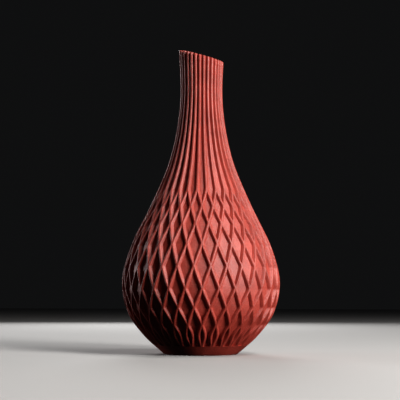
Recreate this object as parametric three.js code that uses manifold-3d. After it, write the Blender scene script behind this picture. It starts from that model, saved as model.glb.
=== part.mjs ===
// A tall bottle-shaped vase, printed in one piece. Thirty-one ribs run straight down its neck. At the
// shoulder each one splits in two, and the two families lean left and right and cross in a lattice of
// diamond pits over the belly, down to a plain foot band. The rim is cut on a slant.
// Millimetres, +Z up, the origin at the centre of the foot. The front of the vase faces -Y.

import * as THREE from "three";
import { mergeVertices } from "three/addons/utils/BufferGeometryUtils.js";
import Module from "manifold-3d";

const wasm = await Module();
wasm.setup();

// Driving dimensions

const RIBS = 31; // ribs in each family
const FIRST_RIB = 6.5; // degrees from the front to the first neck rib, towards +X
const CREST = 2.1; // width of a rib's flat top
const FLANK = 2; // width of each of its sloping sides, measured along the wall
const RIB_HEIGHT = 3.7; // from the bottom of a pit up to the crests
const WALL = 1.6; // wall thickness behind the pits
const FLOOR = 2.4;
const FOOT_BAND = 11.6; // height of the plain band at the foot
const RIM_HEIGHT = 385; // where the slanted rim plane meets the axis
const RIM_TILT = 18.9; // degrees
const RIM_HIGH_SIDE = 144; // degrees from +X to the rim's highest point, towards +Y

// Outline over the crests: height, radius.
const OUTLINE = [
  [0, 46.5],
  [22, 71.2],
  [50, 91.6],
  [90, 100],
  [135, 89.2],
  [190, 63.4],
  [250, 39.8],
  [320, 27.9],
  [400, 29.7],
];
// The ribs split at the first of these heights, and cross their neighbours at each of the others.
const CROSSINGS = [202, 180, 158, 132.9, 106.1, 79.7, 57.4, 36.9];
// Below the last crossing the ribs turn back upright. Height, and how far the families have drifted apart
// in rows of crossings.
const FOOT_TURN = [24, 7.5];
const FOOT_END = [FOOT_BAND, 7.14];

const PITCH = (2 * Math.PI) / RIBS; // angle between neck ribs
const TOP = 400; // the blank is made this tall, and the slanted cut takes its end off
const NECK_ROWS = [218, 236, 258, 284, 314, 350]; // heights of the rows of points up the neck
// Heights of the rows of points of the hollow.
const HOLLOW_ROWS = [14, 40, 66, 90, 114, 140, 168, 190, 208, 226, 244, 262, 280, 300, 320, 345, 375];

// A smooth curve through points given as [x, y] with x rising: at each one it has the slope of the line
// between the two beside it.
function smooth(points) {
  const last = points.length - 1;
  const slopes = points.map((_, i) => {
    const [before, after] = [points[Math.max(i - 1, 0)], points[Math.min(i + 1, last)]];
    return (after[1] - before[1]) / (after[0] - before[0]);
  });
  return (x) => {
    const next = points.findIndex((p, i) => i > 0 && x <= p[0]);
    const i = (next < 0 ? last : next) - 1;
    const [[x0, y0], [x1, y1]] = [points[i], points[i + 1]];
    const t = (x - x0) / (x1 - x0);
    const bend = slopes[i] * t * (1 - t) ** 2 - slopes[i + 1] * t ** 2 * (1 - t);
    return y0 * (1 + 2 * t) * (1 - t) ** 2 + y1 * t ** 2 * (3 - 2 * t) + (x1 - x0) * bend;
  };
}

const radius = smooth(OUTLINE);
const latticeDrift = smooth([
  FOOT_END,
  FOOT_TURN,
  ...CROSSINGS.map((height, row) => [height, row]).reverse(),
]);

// How far the two rib families have drifted apart at a height, in rows: 0 in the neck, where they are one,
// and a whole number where they cross.
function drift(height) {
  return height >= CROSSINGS[0] ? 0 : latticeDrift(Math.max(height, FOOT_BAND));
}

// The distance from one neck rib to the next, measured square to the ribs at that height.
function ribPitch(height) {
  const step = 0.5;
  const slope = (curve) => (curve(height + step) - curve(height - step)) / (2 * step);
  const lean = (radius(height) * (PITCH / 2) * slope(drift)) / Math.hypot(1, slope(radius));
  return (radius(height) * PITCH) / Math.hypot(1, lean);
}

// Half the gap between the centre lines of the ribs beside a pit, in neck-rib pitches. Pit k opens under
// crossing row k, is widest at row k + 1 and closes at row k + 2; pit -1 is a groove of the neck.
function halfGap(k, height) {
  return Math.min(drift(height) - k, k + 2 - drift(height)) / 2;
}

// Half the width of the pit's mouth, between the crests, and of its bottom, between the flanks.
const mouth = (k, height) => halfGap(k, height) - CREST / 2 / ribPitch(height);
const bottom = (k, height) => halfGap(k, height) - (CREST / 2 + FLANK) / ribPitch(height);

// A pit too narrow for both flanks is a V, and the V is shallower than the pits of full width.
function depth(k, height) {
  const reach = halfGap(k, height) * ribPitch(height) - CREST / 2;
  return RIB_HEIGHT * THREE.MathUtils.clamp(reach / FLANK, 0, 1);
}

// The height between low and high where a curve changes sign.
function crossingOf(curve, low, high) {
  const sign = Math.sign(curve(high));
  for (let i = 0; i < 40; i++) {
    const middle = (low + high) / 2;
    if (Math.sign(curve(middle)) === sign) high = middle;
    else low = middle;
  }
  return (low + high) / 2;
}

// A point of the wall: around is counted in neck-rib pitches from the first rib, depth inwards from the
// crests.
function wallPoint([around, height, sunk = 0]) {
  const angle = THREE.MathUtils.degToRad(FIRST_RIB) + around * PITCH;
  const r = radius(height) - sunk;
  return [r * Math.sin(angle), -r * Math.cos(angle), height];
}

// The rows of points of pit k, from its lower end to its upper end. Each has the height of the row, and the
// height of its two end points on the middles of the ribs, which the pits on either side share.
function pitRows(k) {
  const widest = k < 7 ? CROSSINGS[k + 1] : FOOT_TURN[0];
  const open = (height) => mouth(k, height);
  const flat = (height) => bottom(k, height);
  const halfway = (row) => {
    const past = (height) => drift(height) - row - 0.5;
    return crossingOf(past, CROSSINGS[row + 1], CROSSINGS[row]);
  };
  const rows = [[widest, widest]];
  if (k < 6) {
    const end = crossingOf(open, CROSSINGS[k + 2], widest);
    rows.unshift([end, CROSSINGS[k + 2]], [crossingOf(flat, end, widest), halfway(k + 1)]);
  } else if (k === 6) {
    rows.unshift([FOOT_BAND, FOOT_BAND], [FOOT_TURN[0], FOOT_TURN[0]]);
  } else {
    rows.unshift([crossingOf(open, FOOT_BAND, widest), FOOT_BAND]);
  }
  if (k < 0) return [...rows, ...NECK_ROWS.map((height) => [height, height]), [TOP, TOP]];
  const top = crossingOf(open, CROSSINGS[k], widest);
  const shoulder = k < 7 ? [crossingOf(flat, top, widest), halfway(k)] : [(widest + top) / 2, widest];
  return [...rows, shoulder, [top, CROSSINGS[k]]];
}

// The wall between the middles of the ribs beside pit k, as triangles of wall points. Each row has six
// points: the middle of a crest, an edge of the pit's mouth, the two sides of its bottom, and the same again.
// Where the flanks meet, the two in the middle fall together, and where the mouth closes the inner four do.
// The rows of the foot and of the flat ends are not sunk.
function pitCell(k) {
  const centre = (k + 2) / 2;
  const rowAt = ([height, edgeHeight], sunk = depth(k, height)) => {
    const edge = halfGap(k, edgeHeight);
    const [wide, narrow] = [mouth, bottom].map((share) => Math.max(share(k, height), 0));
    return [
      [centre - edge, edgeHeight],
      [centre - wide, height],
      [centre - narrow, height, sunk],
      [centre + narrow, height, sunk],
      [centre + wide, height],
      [centre + edge, edgeHeight],
    ];
  };
  const onAxis = (height) => Array(6).fill([centre, height, radius(height)]);
  const rows = pitRows(k).map((heights) => rowAt(heights));
  if (k < 0) rows.push(onAxis(TOP));
  if (k > 5) rows.unshift(onAxis(0), rowAt([0, 0], 0), rowAt([FOOT_BAND, FOOT_BAND], 0));
  return rows.slice(1).flatMap((above, i) => {
    const below = rows[i];
    return [0, 1, 2, 3, 4].flatMap((c) => [
      [below[c], below[c + 1], above[c + 1]],
      [below[c], above[c + 1], above[c]],
    ]);
  });
}

// The outside of the vase as a closed blank: every pit of one rib, copied for each rib.
function blankGeometry() {
  const corners = [];
  for (let k = -1; k < CROSSINGS.length; k++) {
    const cell = pitCell(k).flat();
    for (let rib = 0; rib < RIBS; rib++) {
      corners.push(...cell.map(([around, height, sunk]) => wallPoint([around + rib, height, sunk])));
    }
  }
  return new THREE.BufferGeometry().setAttribute(
    "position",
    new THREE.Float32BufferAttribute(corners.flat(), 3),
  );
}

// The hollow. At each of its rows the wall behind the grooves and pits has the same thickness, and between rows
// it runs straight.
function cavityGeometry() {
  const rowAt = (height) => {
    const groove = RIB_HEIGHT * THREE.MathUtils.clamp((ribPitch(height) / 2 - CREST / 2) / FLANK, 0, 1);
    return new THREE.Vector2(radius(height) - groove - WALL, height);
  };
  const rows = [FLOOR, ...HOLLOW_ROWS, TOP].map(rowAt);
  const above = TOP + 10;
  const lid = [new THREE.Vector2(rows.at(-1).x, above), new THREE.Vector2(0, above)];
  const segments = 36;
  return new THREE.LatheGeometry([new THREE.Vector2(0, FLOOR), ...rows, ...lid], segments).rotateX(Math.PI / 2);
}

// Everything above the slanted rim.
function rimCutGeometry() {
  const size = 200;
  const up = new THREE.Vector3(0, 0, 1);
  const direction = THREE.MathUtils.degToRad(RIM_HIGH_SIDE);
  const hinge = new THREE.Vector3(Math.sin(direction), -Math.cos(direction), 0);
  const tilt = new THREE.Quaternion().setFromAxisAngle(hinge, THREE.MathUtils.degToRad(RIM_TILT));
  const middle = up.clone().applyQuaternion(tilt).multiplyScalar(size / 2);
  return new THREE.BoxGeometry(size, size, size)
    .applyQuaternion(tilt)
    .translate(middle.x, middle.y, middle.z + RIM_HEIGHT);
}

// A closed mesh as a solid that can be cut and joined.
function solid(geometry) {
  const bare = new THREE.BufferGeometry().setAttribute("position", geometry.getAttribute("position"));
  if (geometry.index) bare.setIndex(geometry.index);
  const merged = mergeVertices(bare, 1e-3);
  const triangles = [];
  for (let i = 0; i < merged.index.count; i += 3) {
    const [a, b, c] = [0, 1, 2].map((corner) => merged.index.getX(i + corner));
    if (a !== b && b !== c && c !== a) triangles.push(a, b, c);
  }
  return new wasm.Manifold(
    new wasm.Mesh({
      numProp: 3,
      vertProperties: merged.getAttribute("position").array,
      triVerts: new Uint32Array(triangles),
    }),
  );
}

function geometryOf(made) {
  const mesh = made.getMesh();
  const geometry = new THREE.BufferGeometry()
    .setAttribute("position", new THREE.BufferAttribute(mesh.vertProperties, 3))
    .setIndex(new THREE.BufferAttribute(mesh.triVerts, 1));
  geometry.computeVertexNormals();
  return geometry;
}

const terracotta = new THREE.MeshStandardMaterial({ color: 0xc9695c, roughness: 0.6, metalness: 0 });

const shape = solid(blankGeometry()).subtract(solid(cavityGeometry())).subtract(solid(rimCutGeometry()));
const vase = new THREE.Mesh(geometryOf(shape), terracotta);
vase.name = "vase";

const group = new THREE.Group();
group.add(vase);
export default group;
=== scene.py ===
"""A printed terracotta bottle vase. Its neck ribs split into a crossing lattice over the belly."""

import math

import bpy
import numpy as np
from mathutils import Euler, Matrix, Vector


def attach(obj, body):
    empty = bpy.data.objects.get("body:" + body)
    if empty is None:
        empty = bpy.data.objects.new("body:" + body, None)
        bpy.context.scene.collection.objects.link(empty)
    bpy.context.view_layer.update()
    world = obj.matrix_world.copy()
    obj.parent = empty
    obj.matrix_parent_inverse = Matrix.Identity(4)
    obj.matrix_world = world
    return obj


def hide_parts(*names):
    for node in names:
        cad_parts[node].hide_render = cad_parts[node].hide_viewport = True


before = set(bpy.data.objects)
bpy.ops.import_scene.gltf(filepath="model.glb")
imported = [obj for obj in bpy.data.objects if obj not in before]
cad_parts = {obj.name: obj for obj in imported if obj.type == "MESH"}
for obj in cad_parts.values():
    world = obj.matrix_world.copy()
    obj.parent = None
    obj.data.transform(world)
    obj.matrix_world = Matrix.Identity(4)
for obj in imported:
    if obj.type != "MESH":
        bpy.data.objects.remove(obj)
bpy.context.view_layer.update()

MM = 0.001

# The dimensions of the CAD part, in millimetres and degrees.
RIBS = 31
FIRST_RIB = 6.5
CREST = 2.1
FLANK = 2.0
RIB_HEIGHT = 3.7
WALL = 1.6
FLOOR = 2.4
FOOT_BAND = 11.6
RIM_HEIGHT = 385.0
RIM_TILT = 18.9
RIM_HIGH_SIDE = 144.0
OUTLINE = [
    (0, 46.5),
    (22, 71.2),
    (50, 91.6),
    (90, 100),
    (135, 89.2),
    (190, 63.4),
    (250, 39.8),
    (320, 27.9),
    (400, 29.7),
]
CROSSINGS = [202, 180, 158, 132.9, 106.1, 79.7, 57.4, 36.9]
FOOT_TURN = (24, 7.5)
FOOT_END = (FOOT_BAND, 7.14)

PITCH = 2 * math.pi / RIBS
EDGE = 0.35  # rounding of the printed edges
FOOT_ROUNDING = [(0.0, 2.0), (0.5, 0.7), (2.0, 0.0)]  # height and inset of the foot's edge, in EDGEs
STEP = 0.04  # height over which the grooves' lower ends step out to the foot band
STRAIGHT = 350.0  # above this the rows of the neck turn to follow the slanted rim
CLOSEST = 0.012  # smallest gap between two columns of vertices, in rib pitches
SHARP_ANGLE = 50  # edges sharper than this aren't smoothed, in degrees
RIM_PASSES = 8  # rounds in which the height of the rim settles

# How many rows of vertices each stretch has, both ends counted, and the heights of the rows given one by
# one.
BAND_ROWS = [3.5, 7.5]
LATTICE_ROWS = 138
NECK_ROWS = 36
RIM_ROWS = 8
HOLLOW_RIM_ROWS = 5
HOLLOW_ROWS = 18
HOLLOW_FOOT_ROWS = [20, 11, 6]


# Shape


def smooth(points):
    """A curve through points of rising x, with the slope at each of the line between its neighbours."""
    xs, ys = np.array(points, float).T
    count = len(xs)
    before = np.maximum(np.arange(count) - 1, 0)
    after = np.minimum(np.arange(count) + 1, count - 1)
    slopes = (ys[after] - ys[before]) / (xs[after] - xs[before])

    def curve(x):
        i = np.clip(np.searchsorted(xs, x, side="right") - 1, 0, count - 2)
        width = xs[i + 1] - xs[i]
        t = (x - xs[i]) / width
        bend = slopes[i] * t * (1 - t) ** 2 - slopes[i + 1] * t**2 * (1 - t)
        return ys[i] * (1 + 2 * t) * (1 - t) ** 2 + ys[i + 1] * t**2 * (3 - 2 * t) + width * bend

    return curve


radius = smooth(OUTLINE)
lattice_drift = smooth([FOOT_END, FOOT_TURN] + [(z, row) for row, z in enumerate(CROSSINGS)][::-1])


def drift(z):
    """How far the two rib families have drifted apart, in rows of crossings."""
    return np.where(z >= CROSSINGS[0], 0.0, lattice_drift(np.maximum(z, FOOT_BAND)))


def rib_pitch(z):
    """Distance between neighbouring ribs of a family, square to them."""
    half = 0.5
    slope = (drift(z + half) - drift(z - half)) / (2 * half)
    rise = (radius(z + half) - radius(z - half)) / (2 * half)
    lean = radius(z) * PITCH / 2 * slope / np.hypot(1, rise)
    return radius(z) * PITCH / np.hypot(1, lean)


def sunk(around, z):
    """Depth of the surface under the crests. around counts rib pitches from the first rib."""
    half = drift(z) / 2
    off = [np.abs(a - np.round(a)) for a in (around - half, around + half)]
    reach = np.minimum(*off) * rib_pitch(z) - CREST / 2
    return np.where(z < FOOT_BAND, 0.0, RIB_HEIGHT * np.clip(reach / FLANK, 0, 1))


def columns(z):
    """Where the vertices of a row stand, in rib pitches: on the edges and feet of the ribs, and halfway."""
    middle = drift(z) / 2
    edges = np.array([CREST / 2 - EDGE, CREST / 2 + EDGE, CREST / 2 + FLANK]) / rib_pitch(z)
    marks = np.concatenate([middle - edges, middle + edges])
    half = np.sort(np.abs(marks - np.round(marks)))
    half = np.concatenate([[0.0], half, [0.5]])
    for i in range(1, len(half)):
        half[i] = max(half[i], half[i - 1] + CLOSEST)
    half[-1] = 0.5
    for i in range(len(half) - 2, 0, -1):
        half[i] = min(half[i], half[i + 1] - CLOSEST)
    pitch = np.concatenate([half, 1 - half[-2:0:-1]])
    return (np.arange(RIBS)[:, None] + pitch).ravel()


def place(around, z, r):
    """Points in metres, from rib pitches and millimetres."""
    angle = math.radians(FIRST_RIB) + around * PITCH
    return np.stack([r * np.sin(angle), -r * np.cos(angle), z + 0 * around], axis=-1) * MM


def rim_plane(around, r):
    """Height of the slanted rim."""
    x, y, _ = (place(around, 0, r) / MM).T
    high = math.radians(RIM_HIGH_SIDE)
    slope = math.tan(math.radians(RIM_TILT))
    return RIM_HEIGHT + slope * (x * math.cos(high) + y * math.sin(high))


def rim_height(around, radius_at):
    """Height at which the wall of that radius meets the rim plane."""
    z = np.full_like(around, RIM_HEIGHT)
    for _ in range(RIM_PASSES):
        z = rim_plane(around, radius_at(around, z))
    return z


def outer(around, z):
    """Radius of the outside."""
    return radius(z) - sunk(around, z)


def inner(around, z):
    """Radius of the hollow, which is WALL behind the bottom of a full-depth pit, measured level."""
    groove = RIB_HEIGHT * np.clip((rib_pitch(z) / 2 - CREST / 2) / FLANK, 0, 1)
    return radius(z) - groove - WALL + 0 * around


def rim_rows(around, radius_at, shares):
    """Rows of the neck's end, from level ones at share 0 to one under the slanted rim at share 1."""
    rim = rim_height(around, radius_at)
    heights = [STRAIGHT + share * (rim - EDGE - STRAIGHT) for share in shares]
    return [place(around, z, radius_at(around, z)) for z in heights]


def lip(around, radius_at, inwards):
    """The row of the rim itself, set in from the wall of that radius."""
    r = radius_at(around, rim_height(around, radius_at)) - inwards
    return place(around, rim_plane(around, r), r)


def vase_rings():
    """Rings of points from the middle of the underside, up the outside, over the rim and down the inside."""
    rings = []
    for rise, inset in FOOT_ROUNDING:
        z = rise * EDGE
        around = columns(z)
        rings.append(place(around, z, outer(around, z) - inset * EDGE))
    band = [*BAND_ROWS, FOOT_BAND - EDGE, FOOT_BAND - STEP]
    lattice = np.linspace(FOOT_BAND + STEP, CROSSINGS[0], LATTICE_ROWS)
    neck = np.linspace(CROSSINGS[0], STRAIGHT, NECK_ROWS)[1:]
    for z in [*band, *lattice, *neck]:
        around = columns(z)
        rings.append(place(around, z, outer(around, z)))
    around = columns(RIM_HEIGHT)
    rings += rim_rows(around, outer, np.linspace(0, 1, RIM_ROWS)[1:])
    rings.append(lip(around, outer, EDGE))
    rings.append(lip(around, inner, -EDGE))
    rings += rim_rows(around, inner, np.linspace(1, 0, HOLLOW_RIM_ROWS)[:-1])
    foot = columns(0.0)
    upper = np.linspace(STRAIGHT, HOLLOW_FOOT_ROWS[0], HOLLOW_ROWS)
    for z in [*upper, *HOLLOW_FOOT_ROWS[1:], FLOOR + EDGE]:
        rings.append(place(foot, z, inner(foot, z)))
    rings.append(place(foot, FLOOR, inner(foot, FLOOR) - EDGE))
    return rings


def mesh_object(name, rings):
    """A closed mesh over the rings, with a flat disc in the first and in the last."""
    count = len(rings[0])
    vertices = np.concatenate(rings)
    side = np.arange(count)
    around = np.stack([side, np.roll(side, -1)], axis=-1)
    faces = []
    for i in range(len(rings) - 1):
        low, high = around + i * count, around + (i + 1) * count
        faces.append(np.stack([low[:, 0], low[:, 1], high[:, 1], high[:, 0]], axis=-1))
    faces = np.concatenate(faces).tolist()
    last = (len(rings) - 1) * count
    faces.append(side[::-1].tolist())
    faces.append((side + last).tolist())
    mesh = bpy.data.meshes.new(name)
    mesh.from_pydata(vertices.tolist(), [], faces)
    mesh.validate()
    mesh.shade_smooth()
    mesh.set_sharp_from_angle(angle=math.radians(SHARP_ANGLE))
    made = bpy.data.objects.new(name, mesh)
    bpy.context.scene.collection.objects.link(made)
    return made


# Materials

TERRACOTTA = (0.335, 0.044, 0.029)
TERRACOTTA_PALE = (0.515, 0.083, 0.058)
PALE = (0.5, 0.49, 0.48)
LAYER = 0.4 * MM  # height of a printed layer
COLOUR_A, COLOUR_B, COLOUR_RESULT = 6, 7, 2  # the colour sockets of a Mix node


class Nodes:
    """A short way to build a node tree."""

    def __init__(self, name):
        self.material = bpy.data.materials.new(name)
        self.material.use_nodes = True
        self.tree = self.material.node_tree
        self.tree.nodes.clear()

    def add(self, kind, inputs=(), **settings):
        node = self.tree.nodes.new("ShaderNode" + kind)
        for key, value in settings.items():
            setattr(node, key, value)
        for key, value in dict(inputs).items():
            if isinstance(value, bpy.types.NodeSocket):
                self.tree.links.new(value, node.inputs[key])
            else:
                node.inputs[key].default_value = value
        return node


def printed_plastic():
    """Matt terracotta filament: cloudy in colour, with a fine grain and layer lines round the vase."""
    n = Nodes("printed_plastic")
    at = n.add("TexCoord").outputs["Object"]
    height = n.add("SeparateXYZ", {0: at}).outputs["Z"]
    cloud = n.add("TexNoise", {"Vector": at, "Scale": 38.0, "Detail": 5.0, "Roughness": 0.65})
    flat = n.add("Mapping", {"Vector": at, "Scale": (0.9, 0.9, 1.8)}).outputs["Vector"]
    grain = n.add("TexNoise", {"Vector": flat, "Scale": 450.0, "Detail": 4.0, "Roughness": 0.8})
    speckle = n.add("Math", {0: cloud.outputs["Fac"], 1: grain.outputs["Fac"]}, operation="ADD")
    tone = n.add("MapRange", {"Value": speckle.outputs[0], "From Min": 0.82, "From Max": 1.18})
    colour = n.add(
        "Mix",
        {
            "Factor": tone.outputs[0],
            COLOUR_A: (*TERRACOTTA, 1),
            COLOUR_B: (*TERRACOTTA_PALE, 1),
        },
        data_type="RGBA",
    )
    turn = n.add("Math", {0: height, 1: 2 * math.pi / LAYER}, operation="MULTIPLY")
    layers = n.add("Math", {0: turn.outputs[0]}, operation="SINE")
    lines = n.add(
        "Bump",
        {"Height": layers.outputs[0], "Strength": 0.25, "Distance": 0.03 * MM},
    )
    bump = n.add(
        "Bump",
        {
            "Height": grain.outputs["Fac"],
            "Strength": 1.0,
            "Distance": 0.6 * MM,
            "Normal": lines.outputs["Normal"],
        },
    )
    rough = n.add("MapRange", {"Value": grain.outputs["Fac"], "To Min": 0.31, "To Max": 0.49})
    shader = n.add(
        "BsdfPrincipled",
        {
            "Base Color": colour.outputs[COLOUR_RESULT],
            "Roughness": rough.outputs[0],
            "Specular IOR Level": 0.8,
            "Normal": bump.outputs["Normal"],
        },
    )
    n.add("OutputMaterial", {"Surface": shader.outputs[0]})
    return n.material


def plain(name, colour, roughness):
    """One colour all over."""
    n = Nodes(name)
    shader = n.add("BsdfPrincipled", {"Base Color": (*colour, 1), "Roughness": roughness})
    n.add("OutputMaterial", {"Surface": shader.outputs[0]})
    return n.material


# The vase

vase = mesh_object("vase_print", vase_rings())
vase.data.materials.append(printed_plastic())
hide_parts("vase")
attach(vase, "root")

# The stage. Lengths from here on are in metres.

FLOOR_SIZE = 30.0
FLOOR_DROP = 0.0002  # keeps the floor clear of the underside
WORLD_COLOUR = (0.8, 0.82, 0.85, 1)
WORLD_STRENGTH = 0.01
LIGHTS_AIM = Vector((0, 0, 0.18))
WARM = (1, 0.98, 0.96)
COOL = (0.95, 0.97, 1)


def pale_floor():
    corner = FLOOR_SIZE / 2
    mesh = bpy.data.meshes.new("floor")
    mesh.from_pydata(
        [(-corner, -corner, 0), (corner, -corner, 0), (corner, corner, 0), (-corner, corner, 0)],
        [],
        [(0, 1, 2, 3)],
    )
    mesh.materials.append(plain("pale_floor", PALE, 0.9))
    made = bpy.data.objects.new("floor", mesh)
    made.location.z = -FLOOR_DROP
    bpy.context.scene.collection.objects.link(made)
    return made


def soft_light(name, azimuth, elevation, distance, size, watts, colour=(1, 1, 1)):
    """A square light aimed at the vase. azimuth is in degrees from the front towards +X."""
    data = bpy.data.lights.new(name, "AREA")
    data.size = size
    data.energy = watts
    data.color = colour
    light = bpy.data.objects.new(name, data)
    a, e = math.radians(azimuth), math.radians(elevation)
    out = Vector((math.sin(a) * math.cos(e), -math.cos(a) * math.cos(e), math.sin(e)))
    light.location = LIGHTS_AIM + out * distance
    light.rotation_euler = out.to_track_quat("Z", "Y").to_euler()
    bpy.context.scene.collection.objects.link(light)


floor = pale_floor()
floor.visible_diffuse = False  # nothing throws light up on the vase from below
floor.visible_glossy = False

world = bpy.data.worlds.new("studio")
world.use_nodes = True
background = world.node_tree.nodes["Background"]
background.inputs["Color"].default_value = WORLD_COLOUR
background.inputs["Strength"].default_value = WORLD_STRENGTH
bpy.context.scene.world = world

soft_light("key", azimuth=46, elevation=21, distance=1.8, size=0.6, watts=35, colour=WARM)
soft_light("side", azimuth=64, elevation=-1, distance=1.8, size=0.4, watts=8, colour=WARM)
soft_light("top", azimuth=62, elevation=60, distance=1.8, size=0.5, watts=10, colour=WARM)
soft_light("rim", azimuth=-112, elevation=10, distance=1.7, size=0.3, watts=7, colour=COOL)
soft_light("back", azimuth=185, elevation=22, distance=1.9, size=0.8, watts=14)

# The camera stands in front, below the point it looks at, and looks slightly up.

CAMERA_LOOKS_AT = (-0.0015, 0.0, 0.195)
CAMERA_DISTANCE = 1.1033
CAMERA_PITCH = 7.03  # degrees up from level
CAMERA_ROLL = 0.17  # degrees
CAMERA_LENS = 77.1  # millimetres
SENSOR_WIDTH = 36  # millimetres

camera_data = bpy.data.cameras.new("camera")
camera_data.sensor_width = SENSOR_WIDTH
camera_data.lens = CAMERA_LENS
camera = bpy.data.objects.new("camera", camera_data)
up = math.radians(CAMERA_PITCH)
x, y, z = CAMERA_LOOKS_AT
camera.location = (x, y - CAMERA_DISTANCE * math.cos(up), z - CAMERA_DISTANCE * math.sin(up))
tilt = Euler((math.radians(90) + up, 0, 0)).to_matrix()
roll = Euler((0, 0, math.radians(CAMERA_ROLL))).to_matrix()
camera.rotation_euler = (tilt @ roll).to_euler()
bpy.context.scene.collection.objects.link(camera)
bpy.context.scene.camera = camera
bpy.context.scene.view_settings.view_transform = "Standard"
bpy.context.scene.view_settings.look = "Medium High Contrast"
